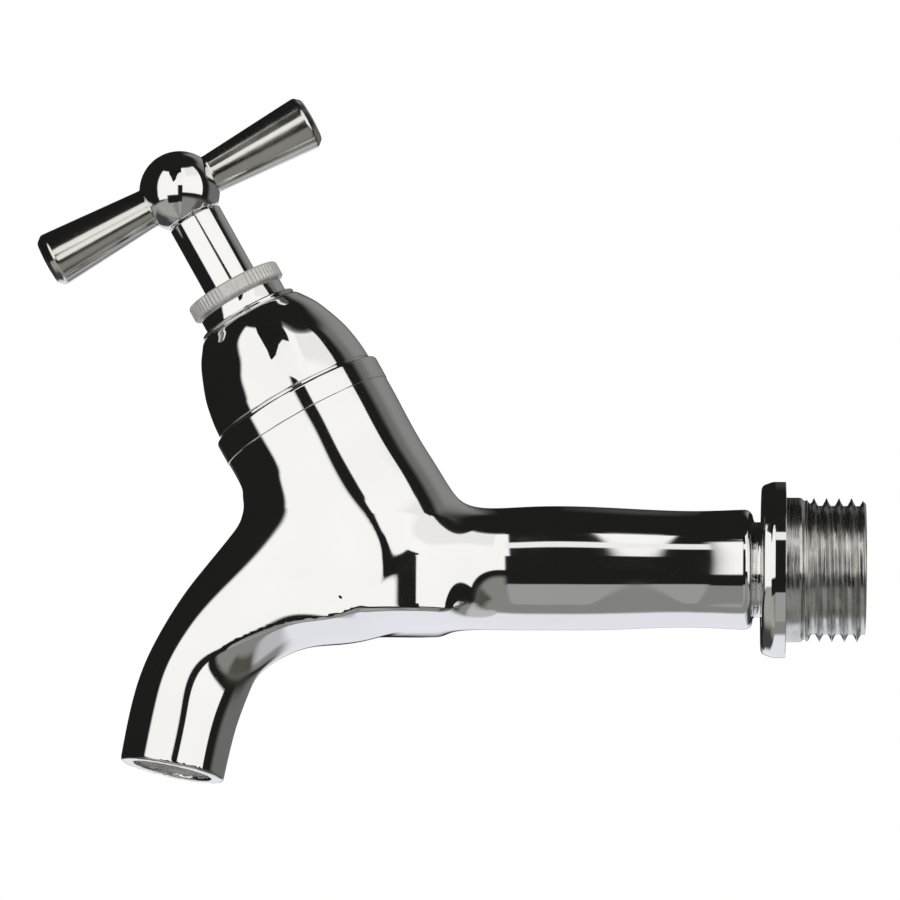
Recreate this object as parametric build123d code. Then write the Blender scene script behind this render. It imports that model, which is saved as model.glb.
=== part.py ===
from build123d import *
import math
import os

os.makedirs("parts", exist_ok=True)

# A wall-mounted bib tap. Millimetres, Z up, X points at the wall, and the tap is symmetric about
# the XZ plane. The origin is on the inlet's axis, at the collar's face against the wall.

# Inlet: thread, collar, neck and barrel, along X
inlet_thread_diameter = 20.955
inlet_thread_length = 11.65
inlet_thread_chamfer = 0.8
inlet_bore_diameter = 11.0
collar_diameter = 25.5
collar_thickness = 3.55
collar_edge_radius = 0.9
neck_diameter = 13.8
neck_length = 1.2
barrel_end_diameter = 17.4
barrel_end_radius = 1.3
barrel_waist_diameter = 16.9
barrel_belly_diameter = 18.0
barrel_throat_diameter = 17.6
barrel_waist_distance = 8.0
barrel_belly_distance = 30.0
# The barrel flares into the leg through rings, each given as its distance from the leg's side and
# how far its top, its bottom and its sides lie beyond the throat's radius
throat_rings = [
    (6.5, -0.1, 0.3, 0.1),
    (2.2, 0.1, 0.8, 0.6),
    (-1.2, 2.5, 1.1, 2.0),
    (-7.0, 2.5, 1.3, 3.3),
    (-14.0, 0.0, 0.0, 1.0),
]
throat_lead = 0.5
throat_step = 0.08

# Leg: it leans away from the wall, and the valve lies on its axis
crossing_from_wall = 57.45
leg_angle = 60.7
leg_diameter = 26.0
leg_rim_height = 24.5
leg_straight_height = 21.3
leg_turn_drop = 8.0
leg_taper = 0.1
leg_side_taper = 0.3

# Crotch behind the leg, where the leg runs into the spout
crotch_back_x = -85.1
crotch_back_z = 9.0
crotch_back_radius = 6.5
crotch_angles = [12, -2, -19, -38]
heel_drop = 10.4
heel_length = 2.5
heel_narrowing = [0.4, 1.4]
# How far across from the back outline to the front one the leg is widest, at each crotch angle
crotch_ridge = [0.5, 0.52, 0.7, 0.74]

# Spout
spout_reach = 88.7
spout_drop = 30.05
spout_lean = 11.8
spout_outlet_diameter = 15.2
spout_root_diameter = 15.5
spout_bore_diameter = 11.3
spout_bore_length = 8.0
spout_wall = 2.6
# Between crotch and outlet: a point on the back and one on the front, each as its distance up the
# spout's end and to the side, the half width beyond the root's radius, and how far across it lies
spout_outline = [
    ((29.7, -1.8), (22.3, 15.0), 1.85, 0.72),
    ((23.1, -4.7), (17.6, 9.7), 0.35, 0.62),
    ((16.6, -6.7), (14.7, 8.7), 0.0, 0.5),
]
passage_mouth = ((13.8, -10.0), (9.5, -6.5))
passage_step = 0.1

# Seat, chamber and thread inside the leg, as heights on the valve axis above the inlet's axis
seat_height = 7.5
seat_hole_diameter = 10.0
seat_ring_width = 1.4
seat_ring_rise = 1.2
seat_ring_slope = 0.4
leg_wall = 2.95
leg_thread_depth = 9.5
chamber_relief = 0.45

# Washer, jumper and its nut
tap_washer_diameter = 14.0
tap_washer_thickness = 3.4
jumper_plate_diameter = 14.6
jumper_plate_thickness = 1.8
jumper_stem_diameter = 5.0
jumper_stem_length = 8.0
jumper_stud_diameter = 3.2
jumper_stud_end = 0.3
jumper_room = 0.8
washer_nut_flats = 5.5
washer_nut_thickness = 1.6

# Bonnet
bonnet_skirt_gap = 0.5
bonnet_cavity_diameter = 16.0
bonnet_cavity_depth = 3.0
bonnet_seal_thickness = 1.2
bonnet_flange_thickness = 1.5
bonnet_hexagon_step = 1.55
bonnet_hexagon_height = 5.3
bonnet_shoulder_step = 1.5
bonnet_shoulder_height = 6.0
bonnet_neck_diameter = 10.8
bonnet_neck_top = 46.0
bonnet_thread_rise = 3.8

# Cover over the bonnet
cover_ring_overhang = 0.1
cover_ring_height = 3.4
cover_ring_wall = 1.4
cover_ring_step = 0.75
cover_groove_height = 0.35
cover_groove_depth = 0.25
cover_dome_top_diameter = 13.6
cover_dome_top = 42.2
cover_wall = 0.9
cover_dome_points = 6

# Ring nut on the cover
nut_collar_diameter = 12.9
nut_collar_height = 2.7
nut_rim_diameter = 14.3
nut_rim_height = 2.3
nut_rim_edge = 0.25
nut_lip_thickness = 1.0

# Spindle
spindle_thread_diameter = 10.0
spindle_thread_length = 13.6
spindle_stem_diameter = 8.0
spindle_square = 5.0
spindle_square_length = 6.6
spindle_square_room = 0.3
oring_groove_depth = 1.1
oring_groove_width = 1.5
oring_lower_height = 34.5
oring_upper_height = 38.5

# Handle
hub_diameter = 11.7
hub_height = 62.7
arm_root_diameter = 5.8
arm_end_diameter = 8.05
arm_reach = 21.65
arm_seat = 5.0
arm_end_radius = 1.0
arm_spigot_diameter = 4.0
arm_spigot_length = 1.6
grub_screw_diameter = 2.5
grub_screw_length = 3.0
grub_screw_socket = 1.3
grub_screw_socket_depth = 1.3

# Clearances, on the radius
thread_clearance = 0.05
sliding_clearance = 0.05
loose_clearance = 0.1
open_clearance = 0.3

# How far a cutting shape goes past the face that it opens
past = 1.0

# How finely the lofts follow their outlines
oval_points = 4
ovals_per_key = 3

lean_cos = math.cos(math.radians(leg_angle))
lean_sin = math.sin(math.radians(leg_angle))
valve_axis = Plane(
    origin=(-crossing_from_wall, 0, 0),
    x_dir=(lean_sin, 0, lean_cos),
    z_dir=(-lean_cos, 0, lean_sin),
)
leg_radius = leg_diameter / 2
leg_thread_diameter = leg_diameter - 2 * leg_wall
chamber_diameter = leg_thread_diameter - 2 * chamber_relief
cover_ring_diameter = leg_diameter + 2 * cover_ring_overhang
cover_ring_inside = cover_ring_diameter - 2 * cover_ring_wall
cover_dome_diameter = cover_ring_diameter - 2 * cover_ring_step
cover_groove_diameter = cover_dome_diameter - 2 * cover_groove_depth
bonnet_seal_outside = cover_ring_inside - 2 * open_clearance
bonnet_hexagon_flats = leg_thread_diameter - 2 * bonnet_hexagon_step
bonnet_shoulder_diameter = bonnet_hexagon_flats - 2 * bonnet_shoulder_step
spindle_bottom = seat_height + tap_washer_thickness + jumper_plate_thickness
bonnet_bottom = leg_rim_height - leg_thread_depth + bonnet_skirt_gap
bonnet_flange_bottom = leg_rim_height + bonnet_seal_thickness
bonnet_hexagon_bottom = bonnet_flange_bottom + bonnet_flange_thickness
bonnet_shoulder_bottom = bonnet_hexagon_bottom + bonnet_hexagon_height
bonnet_neck_bottom = bonnet_shoulder_bottom + bonnet_shoulder_height
bonnet_guide_bottom = bonnet_hexagon_bottom + bonnet_thread_rise
hub_flat = math.sqrt(hub_diameter**2 - spindle_stem_diameter**2) / 2
spindle_shoulder = hub_height - hub_flat


def turned(outline):
    """A solid of revolution about Z from a closed outline of (radius, height) points."""
    face = make_face(Polyline(*outline, close=True))
    return revolve(Plane.XZ * face, axis=Axis.Z)


def disc(radius, bottom, top):
    """A cylinder about Z between two heights."""
    return Pos(0, 0, bottom) * Cylinder(radius, top - bottom, align=(Align.CENTER, Align.CENTER, Align.MIN))


def hexagon(flats, bottom, top):
    """A hexagonal prism about Z between two heights, with its flats facing along X."""
    outline = Rot(0, 0, 30) * RegularPolygon(flats / 2, 6, major_radius=False)
    return Pos(0, 0, bottom) * extrude(outline, top - bottom)


def groove(outside, inside, bottom, top):
    """The ring that cuts a groove into the side of a round solid, down to a radius."""
    return disc(outside + past, bottom, top) - disc(inside, bottom, top)


def square_bar(side, bottom, height):
    """A square bar about Z that stands on a height."""
    return Pos(0, 0, bottom) * Box(side, side, height, align=(Align.CENTER, Align.CENTER, Align.MIN))


def on_valve_axis(solid):
    """Moves a solid made about Z onto the leg's axis."""
    return valve_axis.location * solid


def along_x(radius, start, end):
    """A cylinder on the inlet's axis between two distances along X."""
    return Pos(start, 0, 0) * Rot(0, 90, 0) * disc(radius, 0, end - start)


def oval_face(left_reach, right_reach, half_width):
    """An oval of four arcs, so that the arcs of lofted ovals meet and don't twist."""

    def quarter(start):
        angles = [math.radians(start + 90 * part / oval_points) for part in range(oval_points + 1)]
        reaches = [right_reach if math.cos(angle) > 0 else left_reach for angle in angles]
        points = [
            (reach * math.cos(angle), half_width * math.sin(angle)) for reach, angle in zip(reaches, angles)
        ]
        ends = [
            (-reaches[end] * math.sin(angles[end]), half_width * math.cos(angles[end])) for end in (0, -1)
        ]
        return Spline(*points, tangents=ends)

    return make_face([quarter(start) for start in (45, 135, 225, 315)])


def oval(left, right, half_width, share):
    """An oval across the XZ plane between two outline points, widest at a share of the way."""
    across = Vector(right[0] - left[0], 0, right[1] - left[1])
    widest = Vector(left[0], 0, left[1]) + across * share
    plane = Plane(origin=widest, x_dir=across, z_dir=(-across.Z, 0, across.X))
    return plane * oval_face(across.length * share, across.length * (1 - share), half_width)


def barrel_ring(x, top, bottom, half_width):
    """A cross-section of the barrel, square to X, by its highest and lowest points."""
    plane = Plane(origin=(x, 0, (top + bottom) / 2), x_dir=(0, 1, 0), z_dir=(1, 0, 0))
    return plane * oval_face(half_width, half_width, (top - bottom) / 2)


def leg_point(height, side):
    """A point of the leg's outline, at a height on the valve axis and to one side of it."""
    return (
        -crossing_from_wall - height * lean_cos + side * lean_sin,
        height * lean_sin + side * lean_cos,
    )


def crotch_point(angle):
    """A point on the arc behind the leg, where leg and spout meet."""
    return (
        crotch_back_x + crotch_back_radius * math.cos(math.radians(angle)),
        crotch_back_z + crotch_back_radius * math.sin(math.radians(angle)),
    )


def spout_point(back_up, side):
    """A point near the outlet, so far up the spout's end and to one side of its axis."""
    lean = math.radians(spout_lean)
    return (
        -spout_reach + back_up * math.sin(lean) + side * math.cos(lean),
        -spout_drop + back_up * math.cos(lean) - side * math.sin(lean),
    )


outlet_radius = spout_outlet_diameter / 2
root_radius = spout_root_diameter / 2
leg_side_x = -crossing_from_wall + (leg_radius - leg_side_taper - crotch_back_z * lean_cos) / lean_sin


def smooth_step(keys, index, share):
    """A point between two keys of a smooth curve that passes through all of them."""
    last = len(keys) - 1

    def slope(key):
        before = max(key - 1, 0)
        after = min(key + 1, last)
        if key in (0, last):
            return (keys[after] - keys[before]).normalized()
        back = keys[key] - keys[before]
        ahead = keys[after] - keys[key]
        blend = back / back.length * ahead.length + ahead / ahead.length * back.length
        return blend / (back.length + ahead.length)

    span = (keys[index + 1] - keys[index]).length
    rise = share * share * (3 - 2 * share)
    start = slope(index) * (span * share * (1 - share) ** 2)
    end = slope(index + 1) * (span * share**2 * (share - 1))
    return keys[index] * (1 - rise) + keys[index + 1] * rise + start + end


def loft_through(keys):
    """A loft whose ovals follow two outlines and a flank, given as (left, right, half width, share)."""
    left = [Vector(*key[0]) for key in keys]
    right = [Vector(*key[1]) for key in keys]
    flank = []
    for near, far, (_, _, half_width, share) in zip(left, right, keys):
        widest = near * (1 - share) + far * share
        flank.append(Vector(widest.X, widest.Y, half_width))
    sections = []
    for index in range(len(keys) - 1):
        for part in range(ovals_per_key):
            share = part / ovals_per_key
            near = smooth_step(left, index, share)
            far = smooth_step(right, index, share)
            widest = smooth_step(flank, index, share)
            span = far - near
            way = (Vector(widest.X, widest.Y) - near).dot(span) / span.length**2
            sections.append(oval((near.X, near.Y), (far.X, far.Y), widest.Z, way))
    sections.append(oval(*keys[-1]))
    return loft(sections)


def spout_keys(wall):
    """The keys between the crotch and the spout's straight end, each moved inwards by a wall."""
    keys = []
    for back, front, widening, share in spout_outline:
        near = Vector(*spout_point(*back))
        far = Vector(*spout_point(*front))
        length = (far - near).length
        inwards = (far - near).normalized() * wall
        near += inwards
        far -= inwards
        way = (length * share - wall) / (length - 2 * wall)
        keys.append(((near.X, near.Y), (far.X, far.Y), root_radius + widening - wall, way))
    return keys


def round_key(point, height, radius):
    """A round key across the leg or the spout's end, at a height on its axis."""
    return (point(height, -radius), point(height, radius), radius, 0.5)


def leg_and_spout():
    """The leg and the spout as one loft of ovals that fan round the crotch behind the leg."""
    turn_side = leg_point(leg_straight_height - leg_turn_drop, leg_radius - leg_taper)
    shoulder = (leg_side_x, crotch_back_z)
    flank = (leg_side_x - heel_length, -heel_drop / 3)
    heel = (-crossing_from_wall - heel_length, -heel_drop)
    sides = [turn_side, shoulder, flank, heel]
    widths = [leg_radius, leg_radius] + [leg_radius - narrowing for narrowing in heel_narrowing]
    crotch = [crotch_point(angle) for angle in crotch_angles]
    return loft_through(
        [
            round_key(leg_point, leg_rim_height, leg_radius),
            round_key(leg_point, leg_straight_height, leg_radius),
            *zip(crotch, sides, widths, crotch_ridge),
            *spout_keys(0),
            round_key(spout_point, spout_bore_length, root_radius),
            round_key(spout_point, 0, outlet_radius),
        ]
    )


def barrel_shaft():
    """The round stretch of the barrel: rounded end at the neck, slight waist, then the belly."""
    end = barrel_end_diameter / 2
    waist = barrel_waist_diameter / 2
    belly = barrel_belly_diameter / 2
    corner = barrel_end_radius
    start = -collar_thickness - neck_length
    bend = corner * (1 - math.sqrt(0.5))
    edges = [
        Line((start, 0), (start, end - corner)),
        ThreePointArc((start, end - corner), (start - bend, end - bend), (start - corner, end)),
        Spline(
            (start - corner, end),
            (start - barrel_waist_distance, waist),
            (start - barrel_belly_distance, belly),
            tangents=[(-1, -0.05), (-1, 0)],
        ),
        Line((start - barrel_belly_distance, belly), (start - barrel_belly_distance, 0)),
        Line((start - barrel_belly_distance, 0), (start, 0)),
    ]
    return revolve(Plane.XZ * make_face(edges), axis=Axis.X)


def barrel_throat():
    """The barrel's last stretch, which starts a hair inside the round one and flares into the leg."""
    belly = barrel_belly_diameter / 2 - throat_step
    throat = barrel_throat_diameter / 2
    start = -collar_thickness - neck_length - barrel_belly_distance
    rings = [
        barrel_ring(start, belly, -belly, belly),
        barrel_ring(start - throat_lead, belly, -belly, belly),
    ]
    for distance, rise, drop, widening in throat_rings:
        rings.append(barrel_ring(leg_side_x + distance, throat + rise, -throat - drop, throat + widening))
    return loft(rings)


def collar():
    """The neck and the collar that stands against the wall."""
    disc_part = along_x(collar_diameter / 2, -collar_thickness, 0)
    disc_part = fillet(disc_part.edges().group_by(Axis.X)[0], collar_edge_radius)
    return disc_part + along_x(neck_diameter / 2, -collar_thickness - neck_length - past, 0)


def inlet_thread():
    """The male inlet thread at its major diameter, chamfered at its end."""
    thread = along_x(inlet_thread_diameter / 2, 0, inlet_thread_length)
    return chamfer(thread.edges().group_by(Axis.X)[-1], inlet_thread_chamfer)


def valve_cavity():
    """The thread bore, the chamber round the seat ring, and the seat's hole down to the inlet bore."""
    hole = seat_hole_diameter / 2
    ring = hole + seat_ring_width
    floor = seat_height - seat_ring_rise
    step = leg_rim_height - leg_thread_depth
    cavity = turned(
        [
            (0, seat_height),
            (ring, seat_height),
            (ring + seat_ring_slope, floor),
            (chamber_diameter / 2, floor),
            (chamber_diameter / 2, step),
            (leg_thread_diameter / 2, step),
            (leg_thread_diameter / 2, leg_rim_height + past),
            (0, leg_rim_height + past),
        ]
    )
    return on_valve_axis(cavity + disc(hole, -past, seat_height + past))


def outlet_passage():
    """The way from the chamber through the spout to its round outlet bore."""
    bore = spout_bore_diameter / 2
    upper, lower = passage_mouth
    start = (leg_point(*upper), leg_point(*lower), root_radius - spout_wall, 0.5)
    end = round_key(spout_point, spout_bore_length, bore - passage_step)
    passage = loft_through([start, *spout_keys(spout_wall), end])
    lean = math.radians(spout_lean)
    x, z = spout_point(spout_bore_length, 0)
    bore_top = Plane(origin=(x, 0, z), z_dir=(-math.sin(lean), 0, -math.cos(lean)))
    return passage + bore_top.location * disc(bore, 0, spout_bore_length + past)


def tap_body():
    """The forging: inlet thread, collar, neck, barrel, leg, spout and seat, with its waterways."""
    outside = leg_and_spout() + barrel_shaft() + barrel_throat() + collar() + inlet_thread()
    inlet_bore = along_x(inlet_bore_diameter / 2, -crossing_from_wall - past, inlet_thread_length + past)
    return outside - inlet_bore - valve_cavity() - outlet_passage()


def bonnet():
    """The headpart: skirt thread, flange, hexagon, shoulder and neck, bored for the spindle."""
    skirt = leg_thread_diameter / 2 - thread_clearance
    solid = disc(skirt, bonnet_bottom, bonnet_flange_bottom)
    solid += disc(bonnet_seal_outside / 2, bonnet_flange_bottom, bonnet_hexagon_bottom)
    solid += hexagon(bonnet_hexagon_flats, bonnet_hexagon_bottom, bonnet_shoulder_bottom)
    solid += disc(bonnet_shoulder_diameter / 2, bonnet_shoulder_bottom, bonnet_neck_bottom)
    solid += disc(bonnet_neck_diameter / 2, bonnet_neck_bottom, bonnet_neck_top)
    cavity_top = bonnet_bottom + bonnet_cavity_depth
    solid -= disc(bonnet_cavity_diameter / 2, bonnet_bottom - past, cavity_top)
    solid -= disc(spindle_thread_diameter / 2 + thread_clearance, bonnet_bottom, bonnet_guide_bottom)
    solid -= disc(spindle_stem_diameter / 2 + sliding_clearance, bonnet_bottom, bonnet_neck_top + past)
    return on_valve_axis(solid)


def bonnet_seal():
    """The flat fibre washer between the leg's rim and the bonnet's flange."""
    inside = leg_thread_diameter / 2
    washer = disc(bonnet_seal_outside / 2, leg_rim_height, bonnet_flange_bottom)
    return on_valve_axis(washer - disc(inside, leg_rim_height - past, bonnet_flange_bottom + past))


def dome_solid(offset, bottom):
    """A solid dome: straight foot, oval side and flat top, inside the outer one by offset."""
    foot = leg_rim_height + cover_ring_height + cover_groove_height
    foot_radius = cover_dome_diameter / 2 - offset
    top = cover_dome_top - offset
    top_radius = cover_dome_top_diameter / 2 - offset
    # the oval is upright at the foot and passes through the top's edge
    oval_height = (top - foot) / math.sqrt(1 - (top_radius / foot_radius) ** 2)
    last_angle = math.asin((top - foot) / oval_height)
    angles = [last_angle * part / cover_dome_points for part in range(cover_dome_points + 1)]
    points = [(foot_radius * math.cos(angle), foot + oval_height * math.sin(angle)) for angle in angles]
    side = Spline(*points)
    edges = [
        Line((0, bottom), (foot_radius, bottom)),
        Line((foot_radius, bottom), (foot_radius, foot)),
        side,
        Line(side @ 1, (0, top)),
        Line((0, top), (0, bottom)),
    ]
    return revolve(Plane.XZ * make_face(edges), axis=Axis.Z)


def bonnet_cover():
    """The dome over the bonnet with its bottom ring and the fine groove above the ring."""
    ring_top = leg_rim_height + cover_ring_height
    groove_top = ring_top + cover_groove_height
    solid = disc(cover_ring_diameter / 2, leg_rim_height, ring_top)
    solid += dome_solid(0, leg_rim_height)
    solid -= groove(cover_ring_diameter / 2, cover_groove_diameter / 2, ring_top, groove_top)
    solid -= dome_solid(cover_wall, leg_rim_height - past)
    solid -= disc(cover_ring_inside / 2, leg_rim_height - past, ring_top - cover_wall)
    solid -= disc(bonnet_neck_diameter / 2 + open_clearance, leg_rim_height, cover_dome_top + past)
    return on_valve_axis(solid)


def cover_nut():
    """The ring nut that holds the cover down: smooth collar, wider rim and a lip round the stem."""
    rim_bottom = cover_dome_top + nut_collar_height
    rim_top = rim_bottom + nut_rim_height
    rim = disc(nut_rim_diameter / 2, rim_bottom, rim_top)
    rim = chamfer(rim.edges().filter_by(GeomType.CIRCLE), nut_rim_edge)
    solid = disc(nut_collar_diameter / 2, cover_dome_top, rim_bottom) + rim
    lip_bottom = rim_top - nut_lip_thickness
    solid -= disc(bonnet_neck_diameter / 2 + thread_clearance, cover_dome_top - past, lip_bottom)
    solid -= disc(spindle_stem_diameter / 2 + open_clearance, cover_dome_top, rim_top + past)
    return on_valve_axis(solid)


def spindle():
    """The spindle: threaded foot with the jumper's socket, stem with two grooves, and a square top."""
    stem = spindle_stem_diameter / 2
    solid = disc(spindle_thread_diameter / 2, spindle_bottom, spindle_bottom + spindle_thread_length)
    solid += disc(stem, spindle_bottom, spindle_shoulder)
    solid += square_bar(spindle_square, spindle_shoulder, spindle_square_length)
    socket = jumper_stem_diameter / 2 + loose_clearance
    solid -= disc(socket, spindle_bottom - past, spindle_bottom + jumper_stem_length + jumper_room)
    for height in (oring_lower_height, oring_upper_height):
        low = height - oring_groove_width / 2
        solid -= groove(stem, stem - oring_groove_depth, low, low + oring_groove_width)
    return on_valve_axis(solid)


def spindle_oring(height):
    """A seal ring that fills its groove and just clears the neck's bore."""
    inside = spindle_stem_diameter / 2 - oring_groove_depth
    outside = spindle_stem_diameter / 2
    section = (outside - inside) / 2
    ring = Torus((inside + outside) / 2, section)
    return on_valve_axis(Pos(0, 0, height) * ring)


def jumper():
    """The jumper: a plate with a stem above it and a stud below for the washer's nut."""
    plate_bottom = seat_height + tap_washer_thickness
    plate = disc(jumper_plate_diameter / 2, plate_bottom, spindle_bottom)
    stem = disc(jumper_stem_diameter / 2, plate_bottom, spindle_bottom + jumper_stem_length)
    stud_end = seat_height - washer_nut_thickness - jumper_stud_end
    stud = disc(jumper_stud_diameter / 2, stud_end, plate_bottom)
    return on_valve_axis(plate + stem + stud)


def tap_washer():
    """The rubber washer that closes on the seat ring."""
    washer = disc(tap_washer_diameter / 2, seat_height, seat_height + tap_washer_thickness)
    return on_valve_axis(washer - disc(jumper_stud_diameter / 2, seat_height - past, spindle_bottom))


def washer_nut():
    """The hexagon nut that holds the washer, small enough to hang in the seat's hole."""
    nut_bottom = seat_height - washer_nut_thickness
    nut = hexagon(washer_nut_flats, nut_bottom, seat_height)
    return on_valve_axis(nut - disc(jumper_stud_diameter / 2, nut_bottom - past, seat_height + past))


def across_handle(radius, start, end):
    """A cylinder across the valve axis at the hub's centre, between two distances from it."""
    return Pos(0, 0, hub_height) * along_x(radius, start, end)


def handle_hub():
    """The ball on the spindle's square, spot-faced for the arms and tapped for the set screw."""
    ball = Pos(0, 0, hub_height) * Sphere(hub_diameter / 2)
    ball -= disc(hub_diameter, hub_height - hub_diameter, spindle_shoulder)
    side = spindle_square + 2 * sliding_clearance
    ball -= square_bar(side, spindle_shoulder, spindle_square_length + spindle_square_room)
    for side_sign in (-1, 1):
        turn = Rot(0, 0, 90 - 90 * side_sign)
        ball -= turn * across_handle(arm_root_diameter / 2 + sliding_clearance, arm_seat, hub_diameter)
        ball -= turn * across_handle(arm_spigot_diameter / 2, arm_seat - arm_spigot_length, hub_diameter)
    screw_hole = Rot(0, 0, 90) * across_handle(grub_screw_diameter / 2, 0, hub_diameter)
    return on_valve_axis(ball - screw_hole)


def handle_arm(side_sign):
    """A flared arm with a rounded end and the spigot that screws into the hub."""
    arm = turned(
        [
            (0, arm_seat - arm_spigot_length),
            (arm_spigot_diameter / 2, arm_seat - arm_spigot_length),
            (arm_spigot_diameter / 2, arm_seat),
            (arm_root_diameter / 2, arm_seat),
            (arm_end_diameter / 2, arm_reach),
            (0, arm_reach),
        ]
    )
    arm = fillet(arm.edges().group_by(Axis.Z)[-1], arm_end_radius)
    turn = Rot(0, 0, 90 - 90 * side_sign)
    return on_valve_axis(Pos(0, 0, hub_height) * turn * Rot(0, 90, 0) * arm)


def hub_grub_screw():
    """The set screw in the hub's far side, tight on the spindle's square."""
    start = spindle_square / 2
    end = start + grub_screw_length
    screw = across_handle(grub_screw_diameter / 2, start, end)
    socket = hexagon(grub_screw_socket, end - grub_screw_socket_depth, end + past)
    socket = Pos(0, 0, hub_height) * Rot(0, 90, 0) * socket
    return on_valve_axis(Rot(0, 0, 90) * (screw - socket))


pieces = {
    "tap_body": tap_body(),
    "bonnet": bonnet(),
    "bonnet_seal": bonnet_seal(),
    "bonnet_cover": bonnet_cover(),
    "cover_nut": cover_nut(),
    "spindle": spindle(),
    "spindle_oring_lower": spindle_oring(oring_lower_height),
    "spindle_oring_upper": spindle_oring(oring_upper_height),
    "jumper": jumper(),
    "tap_washer": tap_washer(),
    "washer_nut": washer_nut(),
    "handle_hub": handle_hub(),
    "handle_arm_left": handle_arm(-1),
    "handle_arm_right": handle_arm(1),
    "hub_grub_screw": hub_grub_screw(),
}

for name, solid in pieces.items():
    export_step(solid, f"parts/{name}.step")
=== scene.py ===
import math

import bpy
import numpy as np
from mathutils import Matrix, Vector


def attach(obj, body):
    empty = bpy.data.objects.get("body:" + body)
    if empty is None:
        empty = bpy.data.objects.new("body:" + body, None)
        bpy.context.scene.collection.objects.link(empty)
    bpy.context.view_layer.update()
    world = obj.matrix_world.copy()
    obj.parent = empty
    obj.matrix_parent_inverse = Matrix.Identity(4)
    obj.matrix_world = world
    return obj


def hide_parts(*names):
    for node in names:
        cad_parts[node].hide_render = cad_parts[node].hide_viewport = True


# The tap's visible pieces in millimetres, in the frame's axes: X points at the wall, Z up, and the
# origin is on the inlet's axis at the collar's face. Points become metres as meshes are made.

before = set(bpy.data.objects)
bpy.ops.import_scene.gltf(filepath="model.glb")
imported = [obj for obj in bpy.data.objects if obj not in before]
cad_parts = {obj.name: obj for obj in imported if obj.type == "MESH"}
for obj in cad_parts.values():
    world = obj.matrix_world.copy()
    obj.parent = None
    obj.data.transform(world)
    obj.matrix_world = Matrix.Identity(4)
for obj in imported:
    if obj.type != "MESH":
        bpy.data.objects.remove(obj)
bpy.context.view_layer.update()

leanAngle = math.radians(60.7)
valveOrigin = np.array([-57.45, 0, 0])
valveUp = np.array([-math.cos(leanAngle), 0, math.sin(leanAngle)])
valveAcross = np.array([math.sin(leanAngle), 0, math.cos(leanAngle)])

spoutLean = math.radians(11.8)
outletCentre = np.array([-88.7, -30.05])
spoutDown = np.array([-math.sin(spoutLean), -math.cos(spoutLean)])
spoutSide = np.array([math.cos(spoutLean), -math.sin(spoutLean)])


def onValve(points):
    return valveOrigin + points[:, 0:1] * valveAcross + points[:, 1:2] * [0, 1, 0] + points[:, 2:3] * valveUp


def onInlet(points):
    return np.stack([points[:, 2], points[:, 0], points[:, 1]], axis=1)


def turnOnly(place):
    zero = place(np.zeros((1, 3)))
    return lambda vectors: place(vectors) - zero


# ---- meshes


def addPiece(name, points, faces, normals, body, material, slotName, stands):
    mesh = bpy.data.meshes.new(name)
    mesh.from_pydata((points * 0.001).tolist(), [], faces)
    mesh.update()
    for polygon in mesh.polygons:
        polygon.use_smooth = True
    if normals is not None:
        mesh.normals_split_custom_set_from_vertices(normals.tolist())
    piece = bpy.data.objects.new(name, mesh)
    bpy.context.scene.collection.objects.link(piece)
    mesh.materials.append(material)
    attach(piece, body)
    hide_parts(stands)
    print(name, len(mesh.polygons), "faces")
    return piece


def softened(corners, steps=5):
    # a polyline with an arc in place of each inner corner; a corner is (radius, height, arc radius)
    path = []
    last = len(corners) - 1
    for index, corner in enumerate(corners):
        here = np.array(corner[:2], float)
        arc = corner[2] if len(corner) > 2 else 0.08
        if index in (0, last) or arc == 0:
            path.append(here)
            continue
        back = np.array(corners[index - 1][:2]) - here
        ahead = np.array(corners[index + 1][:2]) - here
        room = 0.49 * min(np.linalg.norm(back), np.linalg.norm(ahead))
        back /= np.linalg.norm(back)
        ahead /= np.linalg.norm(ahead)
        half = math.acos(np.clip(back @ ahead, -1, 1)) / 2
        if half > 1.56:
            path.append(here)
            continue
        reach = min(arc / math.tan(half), room)
        arc = reach * math.tan(half)
        middle = here + (back + ahead) / np.linalg.norm(back + ahead) * arc / math.sin(half)
        start = here + back * reach - middle
        end = here + ahead * reach - middle
        sweep = math.atan2(start[0] * end[1] - start[1] * end[0], start @ end)
        for step in range(steps + 1):
            turn = sweep * step / steps
            spin = np.array([[math.cos(turn), -math.sin(turn)], [math.sin(turn), math.cos(turn)]])
            path.append(middle + spin @ start)
    return np.array(path)


def pathNormals(path, closed):
    # each point's outward direction, weighted by the length of the runs beside it
    runs = np.diff(path, axis=0)
    outward = np.stack([runs[:, 1], -runs[:, 0]], axis=1)
    total = np.zeros_like(path)
    total[:-1] += outward
    total[1:] += outward
    if closed:
        total[0] += outward[-1]
        total[-1] = total[0]
    return total / np.linalg.norm(total, axis=1, keepdims=True)


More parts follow.
